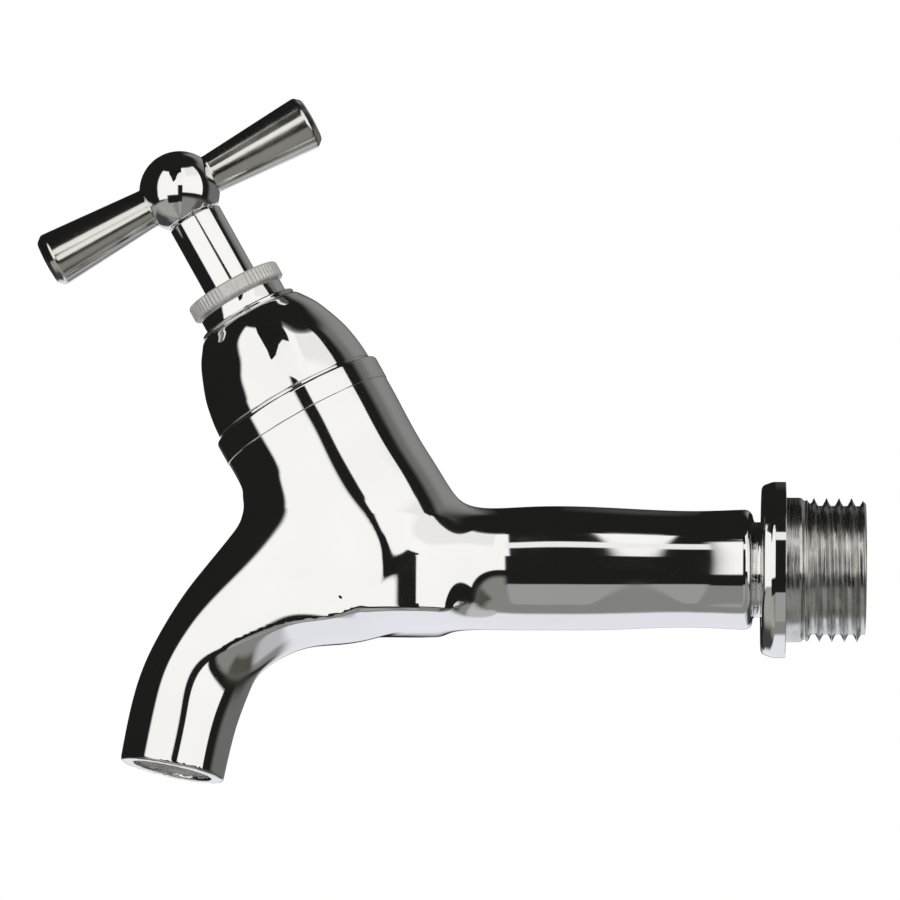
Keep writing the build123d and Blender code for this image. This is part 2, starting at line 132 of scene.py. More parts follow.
def lathed(path, place, segments=192, closed=False, ripple=None):
    # turns a polyline of (radius, height) about the local Z axis; ripple changes radii by angle
    outward = pathNormals(path, closed)
    rows = len(path) - 1 if closed else len(path)
    angles = np.arange(segments) * 2 * math.pi / segments
    radius = np.repeat(path[:rows, 0:1], segments, axis=1)
    height = np.repeat(path[:rows, 1:2], segments, axis=1)
    if ripple is not None:
        radius = radius + ripple(height, radius, angles[None, :])
    points = np.stack([radius * np.cos(angles), radius * np.sin(angles), height], axis=2)
    if ripple is None:
        normals = np.stack(
            [
                outward[:rows, 0:1] * np.cos(angles),
                outward[:rows, 0:1] * np.sin(angles),
                np.repeat(outward[:rows, 1:2], segments, axis=1),
            ],
            axis=2,
        )
    else:
        normals = None
    faces = []
    start = 0
    flatPoints = points.reshape(-1, 3)
    numbers = np.arange(rows * segments).reshape(rows, segments)
    pole = {}
    if not closed:
        for end in (0, rows - 1):
            if path[end, 0] < 1e-6:
                pole[end] = numbers[end, 0]
    pairs = [(row, (row + 1) % rows) for row in range(rows if closed else rows - 1)]
    for low, high in pairs:
        for segment in range(segments):
            after = (segment + 1) % segments
            corners = [numbers[low, segment], numbers[low, after], numbers[high, after], numbers[high, segment]]
            if low in pole:
                corners = [pole[low], corners[2], corners[3]]
            elif high in pole:
                corners = [corners[0], corners[1], pole[high]]
            faces.append([int(corner) for corner in corners])
    used = np.zeros(len(flatPoints), bool)
    used[np.unique(np.concatenate([np.array(face) for face in faces]))] = True
    renumber = np.cumsum(used) - 1
    faces = [[int(renumber[corner]) for corner in face] for face in faces]
    flatPoints = flatPoints[used]
    flatNormals = None if normals is None else turnOnly(place)(normals.reshape(-1, 3)[used])
    return place(flatPoints), faces, flatNormals


# ---- smooth shapes as fields


def splineThrough(keys, run):
    # second derivatives of the natural cubic spline through keys at the places in run
    count = len(run)
    step = np.diff(run)
    system = np.zeros((count, count))
    target = np.zeros((count, keys.shape[1]))
    system[0, 0] = system[-1, -1] = 1
    for index in range(1, count - 1):
        system[index, index - 1 : index + 2] = step[index - 1], 2 * (step[index - 1] + step[index]), step[index]
        slopeAfter = (keys[index + 1] - keys[index]) / step[index]
        slopeBefore = (keys[index] - keys[index - 1]) / step[index - 1]
        target[index] = 6 * (slopeAfter - slopeBefore)
    return np.linalg.solve(system, target)


def splineAt(keys, bends, run, where):
    index = np.clip(np.searchsorted(run, where) - 1, 0, len(run) - 2)
    step = (run[index + 1] - run[index])[:, None]
    after = (where - run[index])[:, None] / step
    before = 1 - after
    return (
        before * keys[index]
        + after * keys[index + 1]
        + ((before**3 - before) * bends[index] + (after**3 - after) * bends[index + 1]) * step**2 / 6
    )


def legPoint(height, side):
    point = valveOrigin + height * valveUp + side * valveAcross
    return [point[0], point[2]]


def crotchPoint(angle):
    return [-85.1 + 6.5 * math.cos(math.radians(angle)), 9.0 + 6.5 * math.sin(math.radians(angle))]


def spoutPoint(backUp, side):
    return list(outletCentre - backUp * spoutDown + side * spoutSide)


# Leg and spout: sections across the XZ plane, each from a point on the back outline to one on the
# front outline, so wide to each side, widest at a share of the way, and keeled by so much in front
legSections = [
    (legPoint(24.5, -13), legPoint(24.5, 13), 13.0, 0.5, 0.0),
    (legPoint(21.3, -13), legPoint(21.3, 13), 13.0, 0.5, 0.0),
    (crotchPoint(12), legPoint(13.3, 12.95), 13.0, 0.5, 0.0),
    (crotchPoint(-2), [-47.94, 9.0], 13.0, 0.52, 0.0),
    (crotchPoint(-19), [-50.44, -3.47], 12.9, 0.71, 0.3),
    (crotchPoint(-38), [-59.95, -9.75], 12.6, 0.86, 0.6),
    (spoutPoint(29.7, -1.8), spoutPoint(22.3, 15.0), 10.6, 0.84, 0.55),
    (spoutPoint(23.1, -4.7), spoutPoint(17.6, 9.7), 8.5, 0.67, 0.3),
    (spoutPoint(16.6, -6.7), spoutPoint(14.7, 8.7), 7.75, 0.5, 0.0),
    (spoutPoint(8, -7.75), spoutPoint(8, 7.75), 7.75, 0.5, 0.0),
    (spoutPoint(0, -7.6), spoutPoint(0, 7.6), 7.6, 0.5, 0.0),
]
legKeys = np.array([back + front + rest for back, front, *rest in legSections])
backRun = np.linalg.norm(np.diff(legKeys[:, 0:2], axis=0), axis=1)
frontRun = np.linalg.norm(np.diff(legKeys[:, 2:4], axis=0), axis=1)
legRun = np.concatenate([[0], np.cumsum((backRun + frontRun) / 2)])
legBends = splineThrough(legKeys, legRun)
legTable = np.linspace(0, legRun[-1], 240)


def legSection(where):
    # widest place, direction across, direction along, reach to the back and front, half width, keel
    values = splineAt(legKeys, legBends, legRun, where)
    back, front, width, share = values[:, 0:2], values[:, 2:4], values[:, 4], values[:, 5]
    span = front - back
    length = np.linalg.norm(span, axis=1)
    across = span / length[:, None]
    along = np.stack([across[:, 1], -across[:, 0]], axis=1)
    return back + span * share[:, None], across, along, length * share, length * (1 - share), width, values[:, 6]


tableMiddle, tableAcross, tableAlong = legSection(legTable)[:3]


def legPlace(flat):
    # where along the leg each (x, z) lies: the section whose plane holds it
    found = np.zeros(len(flat))
    for start in range(0, len(flat), 20000):
        part = flat[start : start + 20000]
        ahead = part @ tableAlong.T - (tableMiddle * tableAlong).sum(axis=1)
        crossing = (ahead[:, :-1] >= 0) & (ahead[:, 1:] < 0)
        far = (part**2).sum(axis=1)[:, None] - 2 * part @ tableMiddle.T + (tableMiddle**2).sum(axis=1)
        cost = np.where(crossing, far[:, :-1], 1e9)
        best = cost.argmin(axis=1)
        rows = np.arange(len(part))
        near, after = ahead[rows, best], ahead[rows, best + 1]
        share = np.clip(near / np.where(near == after, 1, near - after), 0, 1)
        value = legTable[best] + share * (legTable[1] - legTable[0])
        none = cost[rows, best] > 1e8
        value = np.where(none, np.where(far[:, 0] < far[:, -1], 0, legRun[-1]), value)
        found[start : start + 20000] = value
    inner = (found > 0) & (found < legRun[-1])
    for _ in range(3):
        middle, across, along = legSection(found)[:3]
        gap = ((flat - middle) * along).sum(axis=1)
        middleAfter, acrossAfter, alongAfter = legSection(found + 0.01)[:3]
        slope = (((flat - middleAfter) * alongAfter).sum(axis=1) - gap) / 0.01
        move = np.where(inner & (np.abs(slope) > 0.05), -gap / np.where(slope == 0, 1, slope), 0)
        found = np.clip(found + np.clip(move, -1, 1), 0, legRun[-1])
    return found


def ovalGap(aside, sideways, halfAside, halfSideways, power=2.0):
    # distance to an oval, measured towards its middle; a lower power pulls it in towards a diamond
    terms = np.abs(aside / halfAside) ** power + np.abs(sideways / halfSideways) ** power
    ratio = terms ** (1 / power) + 1e-9
    return np.sqrt(aside**2 + sideways**2) * (1 - 1 / ratio) + np.where(ratio < 1e-6, -halfAside, 0)


def roundedBoth(first, second, radius):
    # the space inside both, with their edge rounded
    a, b = first + radius, second + radius
    return np.minimum(np.maximum(a, b), 0) + np.hypot(np.maximum(a, 0), np.maximum(b, 0)) - radius


def blended(first, second, width):
    # the space of either, with a soft hollow where they meet
    overlap = np.maximum(width - np.abs(first - second), 0) / width
    return np.minimum(first, second) - overlap**3 * width / 6


def smoothSteps(x, places, values):
    # a smooth curve through values at places, level beyond the ends
    keys = np.array(values, float)[:, None]
    run = np.array(places, float)
    bends = splineThrough(keys, run)
    return splineAt(keys, bends, run, np.clip(x, run[0], run[-1]))[:, 0]


barrelPlaces = [-76, -72, -66, -62, -57, -55, -52.8, -49, -45, -41.4, -38, -35, -27, -18, -12.4, -6.6, -4.0]
barrelTop = [8.6, 8.6, 8.6, 8.6, 8.6, 8.6, 8.6, 8.6, 8.6, 8.66, 8.85, 8.98, 8.9, 8.52, 8.45, 8.67, 8.76]
barrelBottom = [12.9, 11.7, 10.55, 10.0, 9.4, 9.2, 9.05, 8.95, 8.95, 8.97, 9.0, 8.98, 8.9, 8.52, 8.45, 8.67, 8.76]
barrelSide = [8.3, 9.3, 10.7, 11.95, 12.95, 13.0, 12.92, 11.9, 10.0, 9.15, 9.0, 8.97, 8.9, 8.52, 8.45, 8.75, 8.95]
barrelKeel = [3.0, 2.6, 1.9, 1.5, 0.95, 0.75, 0.6, 0.5, 0.5, 0.5, 0.5, 0.5, 0.5, 0.5, 0.5, 0.5, 0.5]


def tapField(points, where=None):
    # below zero inside the forging from the leg's rim to the outlet and to the barrel's end
    flat = points[:, [0, 2]]
    if where is None:
        where = legPlace(flat)
    middle, across, along, backReach, frontReach, width, keel = legSection(where)
    offset = flat - middle
    aside = (offset * across).sum(axis=1)
    reachThere = np.where(aside < 0, backReach, frontReach)
    keel = np.where(aside < 0, 0, np.clip(keel, 0, 1))
    eased = np.hypot(aside, keelRound) - keelRound
    fromWidest = np.where(aside < 0, aside, eased * keel / 0.6 + aside * (1 - keel / 0.6))
    leg = ovalGap(fromWidest, points[:, 1], reachThere, width, 2 - keel)
    fromValve = points - valveOrigin
    height = fromValve @ valveUp
    outletPast = (flat - outletCentre) @ spoutDown
    leg = roundedBoth(leg, height - 26.0, 0.25)
    leg = np.where(outletPast > -12, roundedBoth(leg, outletPast, 0.45), leg)

    x = points[:, 0]
    top = smoothSteps(x, barrelPlaces, barrelTop)
    bottom = smoothSteps(x, barrelPlaces, barrelBottom)
    upright = points[:, 2] - (top - bottom) / 2
    half = (top + bottom) / 2
    side = smoothSteps(x, barrelPlaces, barrelSide)
    barrel = ovalGap(upright, points[:, 1], half, side)
    # towards the leg its side stays upright down to a corner, and the underside slopes from there
    sideways = np.abs(points[:, 1])
    flank = ovalGap(np.maximum(upright, 0), points[:, 1], half, side + np.maximum(-upright, 0) * 0.12)
    slope = smoothSteps(x, barrelPlaces, barrelKeel) * (sideways / side) ** 2
    underside = (slope - bottom - points[:, 2]) * 0.9
    cornered = roundedBoth(flank, underside, 0.9)
    rootShare = np.clip((-41.5 - x) / 9.0, 0, 1)
    rootShare = rootShare * rootShare * (3 - 2 * rootShare)
    barrel = barrel * (1 - rootShare) + cornered * rootShare
    barrel = roundedBoth(barrel, x + 4.75, 1.3)
    # low down, the corner runs on under the leg towards the spout
    under = np.clip((-6.0 - points[:, 2]) / 2, 0, 1)
    barrel = np.maximum(barrel, -62 - 13 * under - x)
    neck = np.maximum(np.hypot(points[:, 1], points[:, 2]) - 6.9, np.maximum(x + 3.9, -30 - x))
    softness = 1.6 + 4.9 * np.clip((points[:, 2] + 1) / 7, 0, 1)
    outside = np.minimum(blended(leg, barrel, softness), neck)

    reach = np.hypot(fromValve @ valveAcross, fromValve[:, 1])
    chamber = np.maximum(reach - 10.25, 6.3 - height)
    ring = np.maximum(np.maximum(reach - 6.4, 5.0 - reach), height - 7.5)
    chamber = np.maximum(chamber, -ring)
    seatHole = np.maximum(reach - 5.0, np.maximum(-2 - height, height - 8))
    inletBore = np.maximum(np.hypot(points[:, 1], points[:, 2]) - 5.5, -59.45 - x)
    outletBore = np.hypot((flat - outletCentre) @ spoutSide, points[:, 1]) - 5.65
    outletBore = np.maximum(outletBore, -8 - outletPast)
    passage = np.maximum(ovalGap(aside, points[:, 1], reachThere - 2.6, width - 2.6), passageStart - where)
    hollow = np.minimum.reduce([chamber, seatHole, inletBore, outletBore, passage])
    return roundedBoth(outside, -hollow, 0.35)


passageStart = float(legRun[5] - 3.0)
keelRound = 0.8


def surfaceNet(values, corner, step):
    # one point in each cell that the surface crosses, and a quad round each crossed grid edge
    inside = values < 0
    cells = tuple(size - 1 for size in values.shape)
    total = np.zeros(cells + (3,))
    count = np.zeros(cells)
    for axis in range(3):
        low = [slice(None)] * 3
        high = [slice(None)] * 3
        low[axis], high[axis] = slice(0, -1), slice(1, None)
        first, second = values[tuple(low)], values[tuple(high)]
        crossed = (first < 0) != (second < 0)
        share = np.where(crossed, first / np.where(crossed, first - second, 1), 0)
        others = [other for other in range(3) if other != axis]
        for b in (0, 1):
            for c in (0, 1):
                part = [slice(None)] * 3
                part[others[0]] = slice(b, b + cells[others[0]])
                part[others[1]] = slice(c, c + cells[others[1]])
                mask = crossed[tuple(part)]
                total[..., axis] += np.where(mask, share[tuple(part)], 0)
                total[..., others[0]] += mask * b
                total[..., others[1]] += mask * c
                count += mask
    active = count > 0
    number = np.cumsum(active.ravel()).reshape(cells) - 1
    place = np.argwhere(active)
    points = corner + step * (place + total[active] / count[active][:, None])
    quads = []
    for axis in range(3):
        one, two = [(1, 2), (2, 0), (0, 1)][axis]
        low = [slice(1, -1)] * 3
        high = [slice(1, -1)] * 3
        low[axis], high[axis] = slice(0, -1), slice(1, None)
        changed = inside[tuple(low)] != inside[tuple(high)]
        entering = inside[tuple(high)][changed]
        base = np.argwhere(changed)
        base[:, one] += 1
        base[:, two] += 1
        ring = []
        for stepOne, stepTwo in ((0, 0), (-1, 0), (-1, -1), (0, -1)):
            cell = base.copy()
            cell[:, one] += stepOne
            cell[:, two] += stepTwo
            ring.append(number[cell[:, 0], cell[:, 1], cell[:, 2]])
        ring = np.stack(ring, axis=1)
        ring[entering] = ring[entering][:, ::-1]
        quads.append(ring)
    return points, np.concatenate(quads)


def fieldSlope(field, points, reach=0.02):
    # value and gradient from four points round each point
    arms = np.array([[1, 1, 1], [1, -1, -1], [-1, 1, -1], [-1, -1, 1]]) * reach
    samples = [field(points + arm) for arm in arms]
    slope = sum(sample[:, None] * arm for sample, arm in zip(samples, arms)) / (4 * reach**2)
    return sum(samples) / 4, slope


def netOf(field, low, high, step, placed=None):
    axes = [np.arange(low[axis], high[axis] + step, step) for axis in range(3)]
    grid = np.stack(np.meshgrid(*axes, indexing="ij"), axis=-1)
    flat = grid[:, 0, :][..., [0, 2]].reshape(-1, 2)
    where = None
    if placed is not None:
        where = np.repeat(placed(flat).reshape(grid.shape[0], 1, grid.shape[2]), grid.shape[1], axis=1).ravel()
    values = (field(grid.reshape(-1, 3)) if where is None else field(grid.reshape(-1, 3), where)).reshape(grid.shape[:3])
    points, quads = surfaceNet(values, np.array(low), step)
    for _ in range(4):
        value, slope = fieldSlope(field, points)
        strength = np.maximum((slope**2).sum(axis=1), 0.2)
        points = points - np.clip(value / strength, -0.3, 0.3)[:, None] * slope
    value, slope = fieldSlope(field, points)
    normals = slope / np.linalg.norm(slope, axis=1, keepdims=True)
    return points, quads, normals


# ---- materials


class Wire:
    # a socket of a node tree, so that shader sums read as sums

    def __init__(self, tree, socket):
        self.tree, self.socket = tree, socket

    def node(self, kind, inputs, output=0, **settings):
        made = self.tree.nodes.new(kind)
        for key, value in settings.items():
            setattr(made, key, value)
        for key, value in inputs.items():
            if isinstance(value, Wire):
                self.tree.links.new(value.socket, made.inputs[key])
            else:
                made.inputs[key].default_value = value
        return Wire(self.tree, made.outputs[output])

    def math(self, operation, other=0.0, third=0.0):
        return self.node("ShaderNodeMath", {0: self, 1: other, 2: third}, operation=operation)

    def __add__(self, other):
        return self.math("ADD", other)

    def __sub__(self, other):
        return self.math("SUBTRACT", other)

    def __mul__(self, other):
        return self.math("MULTIPLY", other)

    def __truediv__(self, other):
        return self.math("DIVIDE", other)

    def __rsub__(self, other):
        return self.node("ShaderNodeMath", {0: other, 1: self}, operation="SUBTRACT")

    __radd__ = __add__
    __rmul__ = __mul__

    def ramp(self, low, high, atLow=0.0, atHigh=1.0):
        inputs = {0: self, 1: low, 2: high, 3: atLow, 4: atHigh}
        return self.node("ShaderNodeMapRange", inputs, interpolation_type="SMOOTHSTEP")

    def noise(self, scale, detail=2.0, stretch=(1, 1, 1)):
        moved = self.node("ShaderNodeMapping", {"Vector": self, "Scale": stretch})
        return moved.node("ShaderNodeTexNoise", {"Vector": moved, "Scale": scale, "Detail": detail})

    def between(self, first, second):
        inputs = {"Factor": self, "A": (*first, 1) if isinstance(first, tuple) else first}
        inputs["B"] = (*second, 1) if isinstance(second, tuple) else second
        made = self.tree.nodes.new("ShaderNodeMix")
        made.data_type = "RGBA"
        for key, place in (("Factor", 0), ("A", 6), ("B", 7)):
            if isinstance(inputs[key], Wire):
                self.tree.links.new(inputs[key].socket, made.inputs[place])
            else:
                made.inputs[place].default_value = inputs[key]
        return Wire(self.tree, made.outputs[2])


def paint(name, recipe):
    material = bpy.data.materials.new(name)
    material.use_nodes = True
    tree = material.node_tree
    tree.nodes.clear()
    surface = tree.nodes.new("ShaderNodeBsdfPrincipled")
    output = tree.nodes.new("ShaderNodeOutputMaterial")
    tree.links.new(surface.outputs[0], output.inputs[0])
    coordinates = Wire(tree, tree.nodes.new("ShaderNodeTexCoord").outputs["Object"])
    for key, value in recipe(coordinates).items():
        if isinstance(value, Wire):
            tree.links.new(value.socket, surface.inputs[key])
        else:
            surface.inputs[key].default_value = value
    return material


def bumped(place, height, distance, strength=1.0):
    return place.node("ShaderNodeBump", {"Height": height, "Distance": distance, "Strength": strength})


def polishedChrome(place):
    # plate over hand-polished brass: faint waves in the surface, faint haze and hairlines
    haze = place.noise(90.0, 3.0)
    hairlines = place.noise(900.0, 2.0, (1.0, 0.35, 0.35))
    waves = place.noise(40.0, 1.0)
    return {
        "Base Color": haze.ramp(0.3, 0.75).between((0.90, 0.90, 0.89), (0.94, 0.94, 0.93)),
        "Metallic": 1.0,
        "Roughness": haze.ramp(0.35, 0.8, 0.035, 0.07) + hairlines.ramp(0.62, 0.8, 0.0, 0.03),
        "Normal": bumped(place, waves, 0.00002),
    }


def handledChrome(place):
    # the bars are worn by hands: softer and a little warmer than the body
    wear = place.noise(120.0, 3.0)
    return {
        "Base Color": wear.ramp(0.3, 0.7).between((0.76, 0.75, 0.71), (0.86, 0.85, 0.82)),
        "Metallic": 1.0,
        "Roughness": wear.ramp(0.3, 0.75, 0.11, 0.2),
        "Normal": bumped(place, wear, 0.00003),
    }


def satinChrome(place):
    # the serrated rim: plated, but left as rough as it was knurled
    grain = place.noise(1800.0, 3.0)
    patches = place.noise(350.0, 2.0)
    return {
        "Base Color": patches.ramp(0.3, 0.7).between((0.60, 0.59, 0.56), (0.72, 0.71, 0.68)),
        "Metallic": 0.55,
        "Roughness": grain.ramp(0.3, 0.7, 0.32, 0.45),
        "Normal": bumped(place, grain, 0.00003),
    }


def threadChrome(place):
    # thin plate over cut thread flanks, with the cutter's fine rings
    rings = place.noise(260.0, 2.0, (14.0, 0.6, 0.6))
    grime = place.noise(500.0, 3.0)
    return {
        "Base Color": grime.ramp(0.25, 0.7).between((0.56, 0.56, 0.54), (0.76, 0.76, 0.74)),
        "Metallic": 1.0,
        "Roughness": rings.ramp(0.3, 0.7, 0.12, 0.3),
        "Normal": bumped(place, rings, 0.00003),
    }


def turnedBrass(place):
    marks = place.noise(300.0, 2.0, (1.0, 1.0, 6.0))
    tarnish = place.noise(120.0, 3.0)
    return {
        "Base Color": tarnish.ramp(0.3, 0.75).between((0.60, 0.43, 0.20), (0.76, 0.58, 0.31)),
        "Metallic": 1.0,
        "Roughness": marks.ramp(0.3, 0.7, 0.22, 0.4),
        "Normal": bumped(place, marks, 0.00002),
    }


def seatRubber(place):
    bloom = place.noise(400.0, 4.0)
    return {
        "Base Color": bloom.ramp(0.35, 0.8).between((0.018, 0.018, 0.019), (0.05, 0.05, 0.05)),
        "Roughness": bloom.ramp(0.3, 0.8, 0.5, 0.75),
        "Normal": bumped(place, bloom, 0.00003),
    }


def sealFibre(place):
    strands = place.noise(700.0, 4.0, (1.0, 1.0, 3.0))
    return {
        "Base Color": strands.ramp(0.3, 0.75).between((0.30, 0.10, 0.07), (0.46, 0.20, 0.13)),
        "Roughness": strands.ramp(0.3, 0.8, 0.7, 0.9),
        "Normal": bumped(place, strands, 0.00005),
    }


def screwSteel(place):
    marks = place.noise(900.0, 3.0)
    return {
        "Base Color": marks.ramp(0.3, 0.7).between((0.30, 0.30, 0.31), (0.48, 0.48, 0.48)),
        "Metallic": 1.0,
        "Roughness": marks.ramp(0.3, 0.7, 0.25, 0.45),
        "Normal": bumped(place, marks, 0.00002),
    }


chrome = paint("polishedChrome", polishedChrome)
handled = paint("handledChrome", handledChrome)
satin = paint("satinChrome", satinChrome)
threaded = paint("threadChrome", threadChrome)
brass = paint("turnedBrass", turnedBrass)
rubber = paint("seatRubber", seatRubber)
fibre = paint("sealFibre", sealFibre)
steel = paint("screwSteel", screwSteel)

carriedOver = {
    "bonnet": brass,
    "bonnet_seal": fibre,
    "jumper": brass,
    "tap_washer": rubber,
    "washer_nut": brass,
    "spindle_oring_lower": rubber,
    "spindle_oring_upper": rubber,
    "hub_grub_screw": steel,
}
for nodeName, material in carriedOver.items():
    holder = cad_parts[nodeName]
    holder.data.materials.clear()
    holder.data.materials.append(material)

# ---- pieces

netStep = 0.45
points, quads, normals = netOf(tapField, (-97.5, -14.2, -33), (-3.6, 14.2, 28), netStep, legPlace)
addPiece("tapBody", points, quads.tolist(), normals, "tap", chrome, "polished_chrome", "tap_body")

collarOutline = [
    (5.5, -4.7, 0),
    (6.9, -4.7, 0),
    (6.9, -3.6, 0.12),
    (12.15, -3.55, 0.9),
    (12.75, -1.9, 2.2),
    (12.75, 0, 0.12),
    (5.5, 0, 0),
    (5.5, -4.7, 0),
]
addPiece(
    "inletCollar",
    *lathed(softened(collarOutline, 8), onInlet, 256, closed=True),
    "tap",
    chrome,
    "polished_chrome",
    "tap_body",
)



def onOutlet(points):
    middle = np.array([outletCentre[0], 0, outletCentre[1]])
    aside = np.array([spoutSide[0], 0, spoutSide[1]])
    inward = -np.array([spoutDown[0], 0, spoutDown[1]])
    return middle + points[:, 0:1] * aside + points[:, 1:2] * [0, 1, 0] + points[:, 2:3] * inward


# the outlet's bore is left as it was bored
boreOutline = [(5.4, 0.6, 0.1), (5.62, 0.6, 0), (5.62, 7.4, 0), (5.4, 7.4, 0), (5.4, 0.6, 0.1)]
boreParts = lathed(softened(boreOutline, 3), onOutlet, 128, closed=True)
addPiece("outletBore", *boreParts, "tap", satin, "polished_chrome", "tap_body")

threadPitch = 1.814


def threadCut(height, radius, angle):
    # how far the surface lies below the shank: sharp crests, wide rounded roots, a groove at the start
    phase = np.mod(height / threadPitch - angle / (2 * math.pi) + 0.0367, 1.0)
    fromCrest = np.minimum(phase, 1 - phase) * 2
    depth = 1.16 * np.clip(1.06 - (1 - np.minimum(fromCrest / 0.8, 1)) ** 1.5 * 1.06, 0, 1)
    begins = np.clip((height - 2.9) / 0.9, 0, 1)
    relief = 0.45 * np.exp(-(((height - 2.75) / 0.38) ** 2))
    cut = np.maximum(depth * begins**0.7, relief)
    endTaper = np.clip((height - 10.75) / 0.9, 0, 1) * 0.9
    cut = np.maximum(cut, endTaper)
    return np.where((radius > 9) & (height > 0.6), -cut, 0)


threadRows = np.arange(0.6, 11.6, 0.07)
threadPath = np.concatenate(
    [
        [[5.5, -0.5], [9.0, -0.5], [10.4775, -0.4], [10.4775, 0.0]],
        np.stack([np.full(len(threadRows), 10.4775), threadRows], axis=1),
        [[9.5, 11.65], [6.0, 11.65], [5.6, 11.5], [5.5, 11.2], [5.5, -0.5]],
    ]
)
addPiece(
    "inletThread",
    *lathed(threadPath, onInlet, 192, closed=True, ripple=threadCut),
    "tap",
    threaded,
    "polished_chrome",
    "tap_body",
)

domeHeights = [28.35, 30.1, 32.1, 34.1, 36.1, 37.64, 39.15, 40.16, 41.17, 41.7, 42.1]
domeRadii = [12.3, 12.19, 11.92, 11.5, 10.83, 10.23, 9.53, 8.9, 8.18, 7.7, 6.95]
domeSteps = np.linspace(28.35, 42.1, 70)
domeSide = np.stack([smoothSteps(domeSteps, domeHeights, domeRadii), domeSteps], axis=1)
coverPath = np.concatenate(
    [
        softened(
            [
                (11.7, 24.35, 0),
                (13.1, 24.35, 0.2),
                (13.1, 27.95, 0.5),
                (12.1, 28.0, 0.05),
                (12.1, 28.3, 0.05),
                (12.3, 28.35, 0),
            ],
            6,
        ),
        domeSide[1:],
        softened([(6.95, 42.1, 0), (7.3, 42.0, 0.05), (7.45, 42.4, 0.18), (7.0, 42.6, 0.18), (6.5, 42.4, 0)], 6)[1:],
        [[5.8, 42.2], [5.8, 41.2], [10.4, 36.0], [11.3, 31.0], [11.7, 27.0], [11.7, 24.35]],
    ]
)
addPiece(
    "bonnetCover", *lathed(coverPath, onValve, 256, closed=True), "tap", chrome, "polished_chrome", "bonnet_cover"
)


def serration(height, radius, angle):
    # uneven shallow teeth, on the rim only
    teeth = 68
    wave = np.abs(np.mod(angle * teeth / (2 * math.pi), 1.0) - 0.5) * 2
    uneven = 0.75 + 0.25 * np.sin(angle * 7 + 1.3) * np.sin(angle * 11)
    return np.where((radius > 6.9), -0.16 * wave * uneven, 0)


rimOutline = [
    (5.5, 44.9, 0),
    (7.05, 44.9, 0.1),
    (7.2, 45.15, 0.1),
    (7.2, 46.95, 0.1),
    (7.0, 47.2, 0.1),
    (4.45, 47.2, 0.15),
    (4.3, 46.9, 0.05),
    (4.3, 46.2, 0),
    (5.5, 46.2, 0),
    (5.5, 44.9, 0),
]
rimParts = lathed(softened(rimOutline, 4), onValve, 816, closed=True, ripple=serration)
addPiece("coverNutRim", *rimParts, "tap", satin, "satin_chrome", "cover_nut")

nutCollarOutline = [
    (5.5, 42.2, 0),
    (6.3, 42.2, 0.05),
    (6.45, 42.35, 0.05),
    (6.45, 45.0, 0),
    (5.5, 45.0, 0),
    (5.5, 42.2, 0),
]
nutCollarParts = lathed(softened(nutCollarOutline, 4), onValve, 192, closed=True)
addPiece("coverNutCollar", *nutCollarParts, "tap", chrome, "polished_chrome", "cover_nut")

stemOutline = [
    (0, 20.0),
    (2.6, 20.0, 0),
    (2.6, 12.7, 0),
    (4.8, 12.7, 0.2),
    (5.0, 13.2, 0.1),
    (5.0, 26.1, 0.2),
    (4.0, 26.3, 0.1),
    (4.0, 33.75, 0.05),
    (2.9, 33.75, 0.1),
    (2.9, 35.25, 0.1),
    (4.0, 35.25, 0.05),
    (4.0, 37.75, 0.05),
    (2.9, 37.75, 0.1),
    (2.9, 39.25, 0.1),
    (4.0, 39.25, 0.05),
    (4.0, 58.3, 0.1),
    (3.6, 58.6, 0.1),
    (2.4, 58.6, 0.1),
    (2.4, 65.0, 0.2),
    (0, 65.0),
]
addPiece(
    "spindleStem", *lathed(softened(stemOutline, 4), onValve, 160), "handle", chrome, "polished_chrome", "spindle"
)


hubHeight = 63.0


def hubField(points):
    # the ball, flat where it meets the stem, with the set screw's hole on the far side
    ball = np.linalg.norm(points, axis=1) - 5.85
    flat = -4.25 - points[:, 2]
    ball = roundedBoth(ball, flat, 0.15)
    screwHole = np.maximum(np.hypot(points[:, 0], points[:, 2]) - 1.3, 2.4 - points[:, 1])
    return roundedBoth(ball, -screwHole, 0.15)


hubPoints, hubQuads, hubNormals = netOf(hubField, (-6.3, -6.3, -4.7), (6.3, 6.3, 6.3), 0.2)
hubPoints = hubPoints + [0, 0, hubHeight]
addPiece(
    "handleHub",
    onValve(hubPoints),
    hubQuads.tolist(),
    turnOnly(onValve)(hubNormals),
    "handle",
    chrome,
    "polished_chrome",
    "handle_hub",
)

armOutline = [
    (0, 4.4),
    (2.9, 4.4, 0),
    (2.9, 5.5, 0.3),
    (3.96, 19.9, 3),
    (4.02, 20.9, 0.7),
    (3.2, 21.85, 0.7),
    (1.5, 22.0, 2),
    (0, 22.0),
]


def armPlace(side):
    def place(local):
        along = local[:, 2:3] * side
        return (
            valveOrigin
            + hubHeight * valveUp
            + along * valveAcross
            + local[:, 0:1] * np.array([0, 1, 0])
            + local[:, 1:2] * side * valveUp
        )

    return place


for armName, side, nodeName in (("handleArmLeft", -1, "handle_arm_left"), ("handleArmRight", 1, "handle_arm_right")):
    made = lathed(softened(armOutline, 8), armPlace(side), 160)
    addPiece(armName, *made, "handle", handled, "polished_chrome", nodeName)

# ---- camera and studio

pixelsPerMillimetre = 6.9
cameraDistance = 24000 / pixelsPerMillimetre
rise = math.radians(8.5)
roll = math.radians(0.4)
forward = np.array([0, math.cos(rise), math.sin(rise)])
levelUp = np.array([0, -math.sin(rise), math.cos(rise)])
right = math.cos(roll) * np.array([1, 0, 0]) + math.sin(roll) * levelUp
upward = -math.sin(roll) * np.array([1, 0, 0]) + math.cos(roll) * levelUp
aim = right * (450 - 785.5) / pixelsPerMillimetre + upward * (569.9 - 450) / pixelsPerMillimetre
seat = aim - forward * cameraDistance

